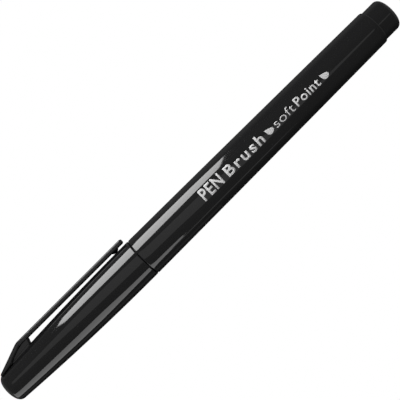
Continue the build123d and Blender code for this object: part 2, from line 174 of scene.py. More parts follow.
# The room is white to the camera only. Round the pen it is dim: dark below the low side, lighter
# above the clip side. Each stop is (angle from the print side towards the clip, glow).
ROOM_GLOW = ((-180, 0.03), (-158, 0.02), (-137, 0.015), (-120, 0.03), (-108, 0.05), (-99, 0.07),
             (-84, 0.13), (-70, 0.165), (-45, 0.18),
             (0, 0.20), (45, 0.19), (88, 0.13), (113, 0.20), (137, 0.13), (158, 0.05), (180, 0.03))
ROOM_END_GLOW = 0.25  # added where the room is seen along the pen
room = bpy.data.worlds.new("studio_room")
bpy.context.scene.world = room
room.use_nodes = True
nodes, links = room.node_tree.nodes, room.node_tree.links
nodes.clear()
room_place = nodes.new("ShaderNodeTexCoord")
room_angle = nodes.new("ShaderNodeMath")
room_angle.operation = "ARCTAN2"
for socket, way in zip(room_angle.inputs, (clip_side, print_side)):
    along = nodes.new("ShaderNodeVectorMath")
    along.operation = "DOT_PRODUCT"
    along.inputs[1].default_value = way
    links.new(room_place.outputs["Generated"], along.inputs[0])
    links.new(along.outputs["Value"], socket)
room_share = nodes.new("ShaderNodeMapRange")
room_share.inputs["From Min"].default_value = -math.pi
room_share.inputs["From Max"].default_value = math.pi
room_ramp = nodes.new("ShaderNodeValToRGB")
stops = room_ramp.color_ramp.elements
while len(stops) < len(ROOM_GLOW):
    stops.new(0.5)
for stop, (angle, glow) in zip(stops, ROOM_GLOW):
    stop.position = (angle + 180) / 360
    stop.color = (glow, glow, glow, 1)
room_ends = nodes.new("ShaderNodeVectorMath")
room_ends.operation = "DOT_PRODUCT"
room_ends.inputs[1].default_value = tail_way
room_end_way = nodes.new("ShaderNodeMath")
room_end_way.operation = "ABSOLUTE"
room_end_glow = nodes.new("ShaderNodeMapRange")
room_end_glow.interpolation_type = "SMOOTHSTEP"
room_end_glow.inputs["From Min"].default_value = 0.5
room_end_glow.inputs["From Max"].default_value = 1.0
room_end_glow.inputs["To Max"].default_value = ROOM_END_GLOW
room_sum = nodes.new("ShaderNodeVectorMath")
links.new(room_place.outputs["Generated"], room_ends.inputs[0])
links.new(room_ends.outputs["Value"], room_end_way.inputs[0])
links.new(room_end_way.outputs[0], room_end_glow.inputs["Value"])
links.new(room_ramp.outputs["Color"], room_sum.inputs[0])
links.new(room_end_glow.outputs["Result"], room_sum.inputs[1])
room_seen = nodes.new("ShaderNodeLightPath")
room_dim = nodes.new("ShaderNodeBackground")
room_white = nodes.new("ShaderNodeBackground")
room_mix = nodes.new("ShaderNodeMixShader")
room_output = nodes.new("ShaderNodeOutputWorld")
room_white.inputs["Color"].default_value = (1, 1, 1, 1)
links.new(room_angle.outputs[0], room_share.inputs["Value"])
links.new(room_share.outputs["Result"], room_ramp.inputs["Fac"])
links.new(room_sum.outputs["Vector"], room_dim.inputs["Color"])
links.new(room_seen.outputs["Is Camera Ray"], room_mix.inputs["Fac"])
links.new(room_dim.outputs[0], room_mix.inputs[1])
links.new(room_white.outputs[0], room_mix.inputs[2])
links.new(room_mix.outputs[0], room_output.inputs["Surface"])

# ------------------------------------------------------------------ barrel
# The barrel is one injection-moulded tube of glossy black plastic, slightly bowed along its length
# and thickest at the cap. Its rear edge is rounded and its front edge only just broken. The mould
# leaves a faint waviness, and handling leaves hair scratches and a little dust.

RING = 144  # faces round a turned piece
barrel_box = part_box("barrel")
SEAM_X = barrel_box[1].x / MM
SEAM_EASE = 0.05  # the broken edges at the seam leave it this much wider on each side
BARREL_START_X = barrel_box[0].x / MM
BODY_RADIUS = 5.77
BARREL_MIDDLE_RADIUS = 5.47
BARREL_REAR_RADIUS = 5.08
BARREL_REAR_ROUNDING = 0.45
BARREL_FRONT_ROUNDING = 0.30
PLUG_SEAT = (14.0, 4.1)
SECTION_SEAT = (77.0, 4.5)
BARREL_BORE = 4.18


def arc_through(start, middle, end, steps):
    """Points on the circle through three points, first and last among them."""
    (x1, r1), (x2, r2), (x3, r3) = start, middle, end
    cross = 2 * (x1 * (r2 - r3) + x2 * (r3 - r1) + x3 * (r1 - r2))
    s1, s2, s3 = x1**2 + r1**2, x2**2 + r2**2, x3**2 + r3**2
    cx = (s1 * (r2 - r3) + s2 * (r3 - r1) + s3 * (r1 - r2)) / cross
    cr = (s1 * (x3 - x2) + s2 * (x1 - x3) + s3 * (x2 - x1)) / cross
    radius = math.hypot(x1 - cx, r1 - cr)
    first = math.atan2(r1 - cr, x1 - cx)
    sweep = (math.atan2(r3 - cr, x3 - cx) - first + math.pi) % (2 * math.pi) - math.pi
    return [
        (cx + radius * math.cos(first + sweep * i / steps),
         cr + radius * math.sin(first + sweep * i / steps))
        for i in range(steps + 1)
    ]


def rounded(outline, steps=5):
    """An open outline whose points may carry a rounding as their third value."""
    points = []
    for i, point in enumerate(outline):
        if len(point) == 2 or i in (0, len(outline) - 1):
            points.append(tuple(point[:2]))
            continue
        here = Vector(point[:2])
        back = (Vector(outline[i - 1][:2]) - here).normalized()
        ahead = (Vector(outline[i + 1][:2]) - here).normalized()
        half = back.angle(ahead) / 2
        centre = here + (back + ahead).normalized() * point[2] / math.sin(half)
        first, last = [here + way * point[2] / math.tan(half) - centre for way in (back, ahead)]
        turn = first.angle_signed(last)
        for step in range(steps + 1):
            spoke = first.copy()
            spoke.rotate(Matrix.Rotation(-turn * step / steps, 2))
            points.append(tuple(centre + spoke))
    return points


def finish_mesh(piece, crease=32):
    """Smooth shading with the sharp corners kept, led by the large faces."""
    bpy.ops.object.select_all(action="DESELECT")
    piece.select_set(True)
    bpy.context.view_layer.objects.active = piece
    bpy.ops.object.shade_smooth_by_angle(angle=math.radians(crease))
    evened = piece.modifiers.new("evened_shading", "WEIGHTED_NORMAL")
    evened.keep_sharp = True
    evened.weight = 80
    bpy.ops.object.modifier_apply(modifier=evened.name)


def turned(name, stations, start_pole=None):
    """A piece of round section, drawn out ring by ring; a radius of 0 closes it on the axis."""
    x, radius = stations[0]
    bpy.ops.object.select_all(action="DESELECT")
    bpy.ops.mesh.primitive_circle_add(
        vertices=RING, radius=radius * MM, location=(x * MM, 0, 0), rotation=(0, math.pi / 2, 0)
    )
    piece = bpy.context.object
    piece.name = piece.data.name = name
    bpy.ops.object.transform_apply(location=True, rotation=True, scale=True)
    bpy.ops.object.mode_set(mode="EDIT")
    bpy.ops.mesh.select_all(action="SELECT")
    for (x0, r0), (x1, r1) in zip(stations, stations[1:]):
        bpy.ops.mesh.extrude_region_move(
            TRANSFORM_OT_translate={"value": ((x1 - x0) * MM, 0, 0), "orient_type": "GLOBAL"}
        )
        if r1 == 0:
            bpy.ops.mesh.merge(type="CENTER")
        elif r1 != r0:
            bpy.ops.transform.resize(
                value=(1, r1 / r0, r1 / r0), center_override=(x1 * MM, 0, 0), orient_type="GLOBAL"
            )
    if start_pole is not None:
        bpy.ops.mesh.select_all(action="DESELECT")
        bpy.ops.mesh.select_mode(type="EDGE")
        bpy.ops.mesh.select_non_manifold(
            extend=False, use_wire=False, use_boundary=True, use_multi_face=False,
            use_non_contiguous=False, use_verts=False,
        )
        bpy.ops.mesh.extrude_region_move(
            TRANSFORM_OT_translate={"value": ((start_pole - x) * MM, 0, 0), "orient_type": "GLOBAL"}
        )
        bpy.ops.mesh.merge(type="CENTER")
    bpy.ops.mesh.select_mode(type="VERT")
    bpy.ops.mesh.select_all(action="SELECT")
    bpy.ops.mesh.remove_doubles(threshold=2e-6)
    bpy.ops.mesh.normals_make_consistent(inside=False)
    bpy.ops.object.mode_set(mode="OBJECT")
    finish_mesh(piece)
    return piece


barrel_outside = arc_through(
    (BARREL_START_X, BARREL_REAR_RADIUS),
    ((BARREL_START_X + SEAM_X) / 2, BARREL_MIDDLE_RADIUS),
    (SEAM_X - SEAM_EASE, BODY_RADIUS),
    40,
)
barrel = turned(
    "barrel_tube",
    rounded(
        [(BARREL_START_X, PLUG_SEAT[1]), (*barrel_outside[0], BARREL_REAR_ROUNDING)]
        + barrel_outside[1:-1]
        + [
            (*barrel_outside[-1], BARREL_FRONT_ROUNDING),
            (SEAM_X - SEAM_EASE, SECTION_SEAT[1]),
            SECTION_SEAT,
            (SECTION_SEAT[0] - 1.0, BARREL_BORE + 0.12),
            (PLUG_SEAT[0] + 1.0, BARREL_BORE),
            PLUG_SEAT,
            (BARREL_START_X, PLUG_SEAT[1]),
        ]
    ),
)


def group_socket(group, name, way, kind, value=None):
    """One named input or output of a shader group."""
    socket = group.interface.new_socket(name=name, in_out=way, socket_type=kind)
    if value is not None:
        socket.default_value = value
    return socket


def math_node(nodes, links, operation, first, second):
    """A Math node; each operand is a socket or a number."""
    node = nodes.new("ShaderNodeMath")
    node.operation = operation
    for slot, operand in zip(node.inputs, (first, second)):
        if isinstance(operand, (int, float)):
            slot.default_value = operand
        else:
            links.new(operand, slot)
    return node.outputs[0]


def moulded_plastic_group():
    """Mould waviness, flow tint, hair scratches along the piece and settled dust."""
    group = bpy.data.node_groups.new("moulded_plastic", "ShaderNodeTree")
    group_socket(group, "Colour", "INPUT", "NodeSocketColor", (0.01, 0.01, 0.01, 1))
    group_socket(group, "Dust Colour", "INPUT", "NodeSocketColor", (0.2, 0.2, 0.2, 1))
    group_socket(group, "Roughness", "INPUT", "NodeSocketFloat", 0.06)
    group_socket(group, "Scratch Amount", "INPUT", "NodeSocketFloat", 0.3)
    group_socket(group, "Dust Amount", "INPUT", "NodeSocketFloat", 0.2)
    group_socket(group, "Wave Amount", "INPUT", "NodeSocketFloat", 0.2)
    group_socket(group, "Grain Amount", "INPUT", "NodeSocketFloat", 0.0)
    group_socket(group, "Colour", "OUTPUT", "NodeSocketColor")
    group_socket(group, "Roughness", "OUTPUT", "NodeSocketFloat")
    group_socket(group, "Height", "OUTPUT", "NodeSocketFloat")
    nodes, links = group.nodes, group.links
    given = nodes.new("NodeGroupInput")
    result = nodes.new("NodeGroupOutput")
    place = nodes.new("ShaderNodeTexCoord")

    def noise(scale, detail, stretch=(1, 1, 1)):
        mapping = nodes.new("ShaderNodeMapping")
        mapping.inputs["Scale"].default_value = stretch
        texture = nodes.new("ShaderNodeTexNoise")
        texture.inputs["Scale"].default_value = scale
        texture.inputs["Detail"].default_value = detail
        links.new(place.outputs["Object"], mapping.inputs["Vector"])
        links.new(mapping.outputs[0], texture.inputs["Vector"])
        return texture.outputs["Fac"]

    def band(value, low, high):
        ramp = nodes.new("ShaderNodeMapRange")
        ramp.interpolation_type = "SMOOTHSTEP"
        ramp.inputs["From Min"].default_value = low
        ramp.inputs["From Max"].default_value = high
        links.new(value, ramp.inputs["Value"])
        return ramp.outputs["Result"]

    waves = noise(90, 1, (0.5, 1, 1))
    flow = noise(60, 3, (0.35, 1, 1))
    grain = noise(9000, 2)
    scratches = band(noise(900, 2, (0.05, 1, 1)), 0.66, 0.74)
    patches = band(noise(140, 2), 0.45, 0.62)
    dust = band(noise(5200, 0), 0.76, 0.80)
    scratches = math_node(nodes, links, "MULTIPLY", scratches, patches)
    scratches = math_node(nodes, links, "MULTIPLY", scratches, given.outputs["Scratch Amount"])
    dust = math_node(nodes, links, "MULTIPLY", dust, given.outputs["Dust Amount"])

    tinted = nodes.new("ShaderNodeMix")
    tinted.data_type = "RGBA"
    tinted.blend_type = "MULTIPLY"
    tinted.inputs["Factor"].default_value = 1.0
    shade = nodes.new("ShaderNodeMapRange")
    shade.inputs["From Min"].default_value = 0.3
    shade.inputs["From Max"].default_value = 0.7
    shade.inputs["To Min"].default_value = 0.82
    shade.inputs["To Max"].default_value = 1.18
    links.new(flow, shade.inputs["Value"])
    links.new(given.outputs["Colour"], tinted.inputs["A"])
    links.new(shade.outputs["Result"], tinted.inputs["B"])
    dusty = nodes.new("ShaderNodeMix")
    dusty.data_type = "RGBA"
    links.new(dust, dusty.inputs["Factor"])
    links.new(tinted.outputs["Result"], dusty.inputs["A"])
    links.new(given.outputs["Dust Colour"], dusty.inputs["B"])
    links.new(dusty.outputs["Result"], result.inputs["Colour"])

    rough = math_node(nodes, links, "ADD", given.outputs["Roughness"], dust)
    scuffed = math_node(nodes, links, "MULTIPLY", scratches, 0.25)
    links.new(math_node(nodes, links, "ADD", rough, scuffed), result.inputs["Roughness"])

    wave_height = math_node(nodes, links, "MULTIPLY", waves, given.outputs["Wave Amount"])
    grain_height = math_node(nodes, links, "MULTIPLY", grain, given.outputs["Grain Amount"])
    scratch_depth = math_node(nodes, links, "MULTIPLY", scratches, -0.02)
    height = math_node(nodes, links, "ADD", wave_height, grain_height)
    links.new(math_node(nodes, links, "ADD", height, scratch_depth), result.inputs["Height"])
    return group


moulded_plastic = moulded_plastic_group()


def plastic(name, colour, roughness, scratch, dust, wave, grain=0.0, ior=1.5, specular=0.5):
    """A moulded plastic with its own colour, gloss and handling marks."""
    material, nodes, links = new_material(name)
    surface = nodes.new("ShaderNodeGroup")
    surface.node_tree = moulded_plastic
    surface.inputs["Colour"].default_value = (*colour, 1)
    surface.inputs["Roughness"].default_value = roughness
    surface.inputs["Scratch Amount"].default_value = scratch
    surface.inputs["Dust Amount"].default_value = dust
    surface.inputs["Wave Amount"].default_value = wave
    surface.inputs["Grain Amount"].default_value = grain
    bump = nodes.new("ShaderNodeBump")
    bump.inputs["Distance"].default_value = 0.02 * MM
    bump.inputs["Strength"].default_value = 1.0
    shader = nodes.new("ShaderNodeBsdfPrincipled")
    shader.inputs["IOR"].default_value = ior
    shader.inputs["Specular IOR Level"].default_value = specular
    output = nodes.new("ShaderNodeOutputMaterial")
    links.new(surface.outputs["Colour"], shader.inputs["Base Color"])
    links.new(surface.outputs["Roughness"], shader.inputs["Roughness"])
    links.new(surface.outputs["Height"], bump.inputs["Height"])
    links.new(bump.outputs["Normal"], shader.inputs["Normal"])
    links.new(shader.outputs["BSDF"], output.inputs["Surface"])
    return material


gloss_black = plastic("gloss_black_plastic", (0.0074, 0.0074, 0.0077), 0.045, 0.25, 0.08, 1.0)
barrel.data.materials.append(gloss_black)
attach(barrel, "pen")
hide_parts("barrel")

# ------------------------------------------------------------------ white print on the barrel
# One line of white ink, pad-printed along the side that faces up when the clip is at the left: a
# large short word, the kind of pen, and two small words on its point, each group set off by a drop.
# The ink is a few hundredths of a millimetre thick and follows the barrel's curve.

PRINT_THICKNESS = 0.014  # how far the ink stands proud of the barrel
INK_DEPTH = 0.0224  # its whole thickness, as it is sunk a little
PRINT_START_LIFT = 8.0  # the flat letters start this far out from the axis
SLICE = 0.22  # the letters are cut into strips this wide so that they can follow the curve


def drop_folds(piece):
    """Removes the slivers where a letter's outline folds over itself, so every edge is clean."""
    sides = {}
    for face in piece.data.polygons:
        corners = list(face.vertices)
        for side in zip(corners, corners[1:] + corners[:1]):
            sides.setdefault(side, []).append(face)
    folds = {
        min(faces, key=lambda face: face.area).index for faces in sides.values() if len(faces) > 1
    }
    bpy.ops.object.mode_set(mode="EDIT")
    bpy.ops.mesh.select_all(action="DESELECT")
    bpy.ops.object.mode_set(mode="OBJECT")
    for index in folds:
        piece.data.polygons[index].select = True
    bpy.ops.object.mode_set(mode="EDIT")
    bpy.ops.mesh.select_mode(type="FACE")
    bpy.ops.mesh.delete(type="FACE")
    bpy.ops.mesh.select_mode(type="VERT")
    bpy.ops.object.mode_set(mode="OBJECT")


def lay_on_barrel(piece):
    """Cuts flat letters into narrow strips, presses them on the barrel and gives them thickness."""
    bpy.ops.object.select_all(action="DESELECT")
    piece.select_set(True)
    bpy.context.view_layer.objects.active = piece
    bpy.ops.object.mode_set(mode="EDIT")
    heights = [vertex.co.y for vertex in piece.data.vertices]
    level = math.floor(min(heights) / (SLICE * MM)) + 1
    while level * SLICE * MM < max(heights):
        bpy.ops.mesh.select_all(action="SELECT")
        bpy.ops.mesh.bisect(plane_co=(0, level * SLICE * MM, 0), plane_no=(0, 1, 0))
        level += 1
    bpy.ops.mesh.select_all(action="SELECT")
    bpy.ops.mesh.remove_doubles(threshold=1e-7)
    bpy.ops.object.mode_set(mode="OBJECT")
    drop_folds(piece)
    turn = Matrix((tail_way, clip_side, print_side)).transposed().to_4x4()
    piece.matrix_world = Matrix.Translation(PRINT_START_LIFT * MM * print_side) @ turn
    press = piece.modifiers.new("press_on", "SHRINKWRAP")
    press.target = barrel
    press.wrap_method = "PROJECT"
    press.use_project_z = True
    press.use_negative_direction = True
    press.use_positive_direction = False
    press.offset = PRINT_THICKNESS * MM
    bpy.ops.object.modifier_apply(modifier=press.name)
    film = piece.modifiers.new("ink_film", "SOLIDIFY")
    film.thickness = INK_DEPTH * MM
    film.offset = -1
    bpy.ops.object.modifier_apply(modifier=film.name)
    bpy.ops.object.transform_apply(location=True, rotation=True, scale=True)


def printed_word(name, word, start, end, low, high, weight, spacing=1.0):
    """A word between two stations along the pen and two heights across it, all in mm."""
    bpy.ops.object.select_all(action="DESELECT")
    bpy.ops.object.text_add()
    piece = bpy.context.object
    piece.name = name
    piece.data.body = word
    piece.data.size = 0.01
    piece.data.offset = weight
    piece.data.space_character = spacing
    piece.data.resolution_u = 6
    bpy.ops.object.convert(target="MESH")
    fit_between(piece, start, end, low, high)
    lay_on_barrel(piece)
    return piece


def fit_between(piece, start, end, low, high):
    """Scales and moves a flat shape to fill a rectangle; start is the end nearer the cap."""
    xs = [vertex.co.x for vertex in piece.data.vertices]
    ys = [vertex.co.y for vertex in piece.data.vertices]
    wide = (start - end) * MM / (max(xs) - min(xs))
    tall = (high - low) * MM / (max(ys) - min(ys))
    shift = Matrix.Translation((-start * MM - wide * min(xs), low * MM - tall * min(ys), 0))
    piece.data.transform(shift @ Matrix.Diagonal((wide, tall, 1, 1)))


def printed_drop(name, start, end, low, high):
    """A small solid ink drop that leans towards the tail, as the end of a group of words."""
    bpy.ops.object.select_all(action="DESELECT")
    bpy.ops.mesh.primitive_circle_add(vertices=64, radius=MM, fill_type="NOTHING")
    piece = bpy.context.object
    piece.name = name
    for vertex in piece.data.vertices:
        turn = math.atan2(vertex.co.x, vertex.co.y)
        wide = math.sin(turn) * math.sin(abs(turn) / 2) ** 1.5
        vertex.co.x = wide * MM
        vertex.co.y = math.cos(turn) * MM
    bpy.ops.object.mode_set(mode="EDIT")
    bpy.ops.mesh.select_all(action="SELECT")
    bpy.ops.mesh.remove_doubles(threshold=1e-6)
    bpy.ops.mesh.edge_face_add()
    bpy.ops.transform.rotate(
        value=math.radians(-38), orient_axis="Z", center_override=(0, 0, 0), orient_type="GLOBAL"
    )
    bpy.ops.object.mode_set(mode="OBJECT")
    fit_between(piece, start, end, low, high)
    lay_on_barrel(piece)
    return piece


print_pieces = [
    printed_word("print_large_word", "PEN", 68.8, 61.75, -1.28, 2.03, 0.00020, 1.10),
    printed_word("print_kind_word", "Brush", 60.1, 46.95, -1.23, 1.73, 0.00020, 1.20),
    printed_drop("print_drop_front", 45.7, 43.35, -0.92, 0.99),
    printed_word("print_soft_word", "soft", 42.65, 35.8, -0.92, 1.43, -0.00009, 1.05),
    printed_word("print_point_word", "Point", 35.0, 26.6, -0.92, 1.53, 0.00016, 1.10),
    printed_drop("print_drop_rear", 25.75, 23.4, -0.82, 1.10),
]


def ink_material():
    """White ink with pinholes and a slightly uneven cover."""
    material, nodes, links = new_material("white_print_ink")
    place = nodes.new("ShaderNodeTexCoord")
    cover = nodes.new("ShaderNodeTexNoise")
    cover.inputs["Scale"].default_value = 6500
    cover.inputs["Detail"].default_value = 3
    shade = nodes.new("ShaderNodeValToRGB")
    shade.color_ramp.elements[0].position = 0.30
    shade.color_ramp.elements[0].color = (0.68, 0.68, 0.68, 1)
    shade.color_ramp.elements[1].position = 0.52
    shade.color_ramp.elements[1].color = (0.80, 0.80, 0.80, 1)
    gloss = nodes.new("ShaderNodeMapRange")
    gloss.inputs["To Min"].default_value = 0.32
    gloss.inputs["To Max"].default_value = 0.5
    bump = nodes.new("ShaderNodeBump")
    bump.inputs["Distance"].default_value = 0.004 * MM
    shader = nodes.new("ShaderNodeBsdfPrincipled")
    output = nodes.new("ShaderNodeOutputMaterial")
    links.new(place.outputs["Object"], cover.inputs["Vector"])
    links.new(cover.outputs["Fac"], shade.inputs["Fac"])
    links.new(cover.outputs["Fac"], gloss.inputs["Value"])
    links.new(cover.outputs["Fac"], bump.inputs["Height"])
    links.new(shade.outputs["Color"], shader.inputs["Base Color"])
    links.new(gloss.outputs["Result"], shader.inputs["Roughness"])
    links.new(bump.outputs["Normal"], shader.inputs["Normal"])
    links.new(shader.outputs["BSDF"], output.inputs["Surface"])
    return material


white_ink = ink_material()
for piece in print_pieces:
    piece.data.materials.append(white_ink)
    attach(piece, "pen")

# ------------------------------------------------------------------ end plug
# The tail is a separate moulded plug, pressed into the barrel's rear. A straight, slightly slimmer
# stub with a flat end and a rounded edge shows; its hollow stem and the crossed ribs that stop the
# reservoir are inside.

PLUG_RADIUS = 4.69
PLUG_END_ROUNDING = 1.3
PLUG_STEM = (12.6, 4.08)
PLUG_BORE = 2.9
RIB_START, RIB_END = 1.2, 13.5
RIB_WIDTH = 0.9
RIB_SPAN = 2 * PLUG_BORE + 0.9

end_plug = turned(
    "end_plug_body",
    rounded(
        [
            (0, 1.2),
            (0, PLUG_RADIUS, PLUG_END_ROUNDING),
            (BARREL_START_X, PLUG_RADIUS),
            (BARREL_START_X, PLUG_STEM[1]),
            (PLUG_STEM[0] - 0.6, PLUG_STEM[1]),
            (PLUG_STEM[0], PLUG_STEM[1] - 0.3),
            (PLUG_STEM[0], PLUG_BORE),
            (2.2, PLUG_BORE - 0.2),
            (1.5, PLUG_BORE - 0.9),
            (1.5, 0),
        ],
        steps=8,
    ),
    start_pole=0,
)


def join_solid(piece, other):
    """Unites two closed solids into one."""
    bpy.ops.object.select_all(action="DESELECT")
    piece.select_set(True)
    bpy.context.view_layer.objects.active = piece
    union = piece.modifiers.new("grown_together", "BOOLEAN")
    union.operation = "UNION"
    union.solver = "EXACT"
    union.object = other
    bpy.ops.object.modifier_apply(modifier=union.name)
    bpy.data.objects.remove(other, do_unlink=True)


for across in ((1, RIB_SPAN, RIB_WIDTH), (1, RIB_WIDTH, RIB_SPAN)):
    bpy.ops.object.select_all(action="DESELECT")
    bpy.ops.mesh.primitive_cube_add(size=1, location=((RIB_START + RIB_END) / 2 * MM, 0, 0))
    rib = bpy.context.object
    rib.scale = ((RIB_END - RIB_START) * MM, across[1] * MM, across[2] * MM)
    bpy.ops.object.transform_apply(location=True, rotation=True, scale=True)
    join_solid(end_plug, rib)
finish_mesh(end_plug)
end_plug.data.materials.clear()
end_plug.data.materials.append(gloss_black)
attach(end_plug, "pen")
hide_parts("end_plug")

# ------------------------------------------------------------------ front section and nib holder
# A black moulded section closes the barrel's front: a neck with a low bead that the cap snaps over,
# then a waisted grip cone with five fine grooves, then a short nose. A sleeve in the nose holds the
# nib and has two air grooves.

FIT_GAP = 0.02
SECTION_START = 78.0
NECK_RADIUS = 4.64
NECK_END = 99.8
BEAD_X, BEAD_RADIUS = 96.4, 4.71
GRIP_START_RADIUS = 4.34
GRIP_MIDDLE_RADIUS = 3.565
GRIP_END, NOSE_RADIUS = 119.2, 2.95
NOSE_END = 122.4
GROOVES = [NECK_END + 1.1 * (count + 2) for count in range(5)]
GROOVE_RADIUS = 0.22
NEST_RADIUS, NEST_END = 3.72, 86.6
HOLDER_BORE = 2.0


def grip_outline():
    """The waisted cone with its grooves cut in."""
    cone = arc_through(
        (NECK_END, GRIP_START_RADIUS),
        ((NECK_END + GRIP_END) / 2, GRIP_MIDDLE_RADIUS),
        (GRIP_END, NOSE_RADIUS),
        400,
    )
    points = [cone[0]]
    for x, radius in cone[1:-1]:
        near = min(GROOVES, key=lambda groove: abs(groove - x))
        along = (near - NECK_END) / (GRIP_END - NECK_END)
        level = GRIP_START_RADIUS * (1 - along) + NOSE_RADIUS * along
        if abs(x - near) < GROOVE_RADIUS:
            radius = min(radius, level - math.sqrt(GROOVE_RADIUS**2 - (x - near) ** 2))
            points.append((x, radius))
        elif abs(x - near) < GROOVE_RADIUS + 0.06 or x - points[-1][0] > 0.6:
            points.append((x, radius))
    return points + [cone[-1]]


front_section = turned(
    "front_section_body",
    rounded(
        [
            (SECTION_START, NEST_RADIUS),
            (SECTION_START, SECTION_SEAT[1] - 0.3),
            (SECTION_START + 0.5, SECTION_SEAT[1] - FIT_GAP),
            (SEAM_X + FIT_GAP, SECTION_SEAT[1] - FIT_GAP),
            (SEAM_X + FIT_GAP, NECK_RADIUS),
            (BEAD_X - 0.5, NECK_RADIUS, 0.1),
            (BEAD_X - 0.2, BEAD_RADIUS, 0.2),
            (BEAD_X + 0.2, BEAD_RADIUS, 0.2),
            (BEAD_X + 0.5, NECK_RADIUS, 0.1),
            (NECK_END - 0.3, NECK_RADIUS, 0.15),
        ]
        + grip_outline()
        + [
            (NOSE_END - 0.7, NOSE_RADIUS, 0.4),
            (NOSE_END, NOSE_RADIUS - 0.55, 0.15),
            (NOSE_END, HOLDER_BORE),
            (NEST_END + 4.0, HOLDER_BORE),
            (NEST_END, NEST_RADIUS - 0.9),
            (NEST_END, NEST_RADIUS),
            (SECTION_START, NEST_RADIUS),
        ],
        steps=4,
    ),
)
section_black = plastic(
    "section_black_plastic", (0.009, 0.009, 0.0095), 0.16, 0.4, 0.06, 1.0, grain=0.05
)
front_section.data.materials.append(section_black)
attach(front_section, "pen")
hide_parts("front_section")


def finish_node(name, material):
    """Gives a carried-over node of the frame its own finish."""
    node = frame["nodes"][name]
    node.data.materials.clear()
    node.data.materials.append(material)


holder_grey = plastic("holder_grey_plastic", (0.05, 0.052, 0.055), 0.32, 0.2, 0.05, 0.6, grain=0.2)
finish_node("nib_holder", holder_grey)

# ------------------------------------------------------------------ nib
# The nib is one rod of bonded felt fibre. Its shank sits in the holder and the reservoir; its free
# end is ground to a slim bellied brush point, soaked with black ink.

NIB_START = 78.5
NIB_RADIUS = 1.38
FLEX_X = 124.7
TIP_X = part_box("brush_tip")[1].x / MM
TIP_ROUNDING, TIP_RADIUS = 0.22, 0.24
FELT_START, FELT_STEP = 123.2, 0.16

felt_belly = [(FLEX_X, NIB_RADIUS), (FLEX_X + 1.6, 1.43), (FLEX_X + 3.1, 1.27),
              (FLEX_X + 4.6, 0.92), (FLEX_X + 6.1, 0.54), (TIP_X - TIP_ROUNDING, TIP_RADIUS)]


def smooth_radius(x, marks):
    """A smooth curve through (station, radius) marks."""
    for i in range(len(marks) - 1):
        (x1, r1), (x2, r2) = marks[i], marks[i + 1]
        if x <= x2:
            x0, r0 = marks[max(0, i - 1)]
            x3, r3 = marks[min(len(marks) - 1, i + 2)]
            slope1 = (r2 - r0) / (x2 - x0) if i else 0.0
            slope2 = (r3 - r1) / (x3 - x1)
            step = x2 - x1
            u = (x - x1) / step
            return (
                (2 * u**3 - 3 * u**2 + 1) * r1 + (u**3 - 2 * u**2 + u) * step * slope1
                + (3 * u**2 - 2 * u**3) * r2 + (u**3 - u**2) * step * slope2
            )
    return marks[-1][1]


nib_stations = [(NIB_START, 0.1), (NIB_START + 1.6, NIB_RADIUS), (90.0, NIB_RADIUS),
                (105.0, NIB_RADIUS), (118.0, NIB_RADIUS), (123.0, NIB_RADIUS)]
felt_count = round((TIP_X - TIP_ROUNDING - FELT_START) / FELT_STEP)
for count in range(felt_count + 1):
    x = FELT_START + (TIP_X - TIP_ROUNDING - FELT_START) * count / felt_count
    nib_stations.append((x, NIB_RADIUS if x <= FLEX_X else smooth_radius(x, felt_belly)))
for angle in (30, 50, 70):
    turn = math.radians(angle)
    nib_stations.append(
        (TIP_X - TIP_ROUNDING + TIP_ROUNDING * math.sin(turn), TIP_RADIUS * math.cos(turn))
    )
nib_stations.append((TIP_X, 0))
nib = turned("brush_nib", nib_stations, start_pole=NIB_START)


def felt_material():
    """Bonded fibres along the nib, ink-soaked, with patches of differing gloss."""
    material, nodes, links = new_material("inked_felt")
    place = nodes.new("ShaderNodeTexCoord")
    stretch = nodes.new("ShaderNodeMapping")
    stretch.inputs["Scale"].default_value = (0.04, 1, 1)
    fibres = nodes.new("ShaderNodeTexNoise")
    fibres.inputs["Scale"].default_value = 11000
    fibres.inputs["Detail"].default_value = 2
    soak = nodes.new("ShaderNodeTexNoise")
    soak.inputs["Scale"].default_value = 500
    shade = nodes.new("ShaderNodeValToRGB")
    shade.color_ramp.elements[0].position = 0.35
    shade.color_ramp.elements[0].color = (0.004, 0.004, 0.006, 1)
    shade.color_ramp.elements[1].position = 0.70
    shade.color_ramp.elements[1].color = (0.030, 0.031, 0.038, 1)
    gloss = nodes.new("ShaderNodeMapRange")
    gloss.inputs["From Min"].default_value = 0.35
    gloss.inputs["From Max"].default_value = 0.65
    gloss.inputs["To Min"].default_value = 0.38
    gloss.inputs["To Max"].default_value = 0.72
    bump = nodes.new("ShaderNodeBump")
    bump.inputs["Distance"].default_value = 0.03 * MM
    shader = nodes.new("ShaderNodeBsdfPrincipled")
    output = nodes.new("ShaderNodeOutputMaterial")
    links.new(place.outputs["Object"], stretch.inputs["Vector"])
    links.new(place.outputs["Object"], soak.inputs["Vector"])
    links.new(stretch.outputs[0], fibres.inputs["Vector"])
    links.new(fibres.outputs["Fac"], shade.inputs["Fac"])
    links.new(fibres.outputs["Fac"], bump.inputs["Height"])
    links.new(soak.outputs["Fac"], gloss.inputs["Value"])
    links.new(shade.outputs["Color"], shader.inputs["Base Color"])
    links.new(gloss.outputs["Result"], shader.inputs["Roughness"])
    links.new(bump.outputs["Normal"], shader.inputs["Normal"])
    links.new(shader.outputs["BSDF"], output.inputs["Surface"])
    return material


inked_felt = felt_material()
nib.data.materials.append(inked_felt)
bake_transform(nib)
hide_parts("nib_shank", "brush_tip")

# ------------------------------------------------------------------ ink reservoir and breather
# A bundle of polyester fibres, soaked with ink, is wrapped in a thin clear film and lies in the
# barrel. A fine tube beside it lets air pass from the front to the back.


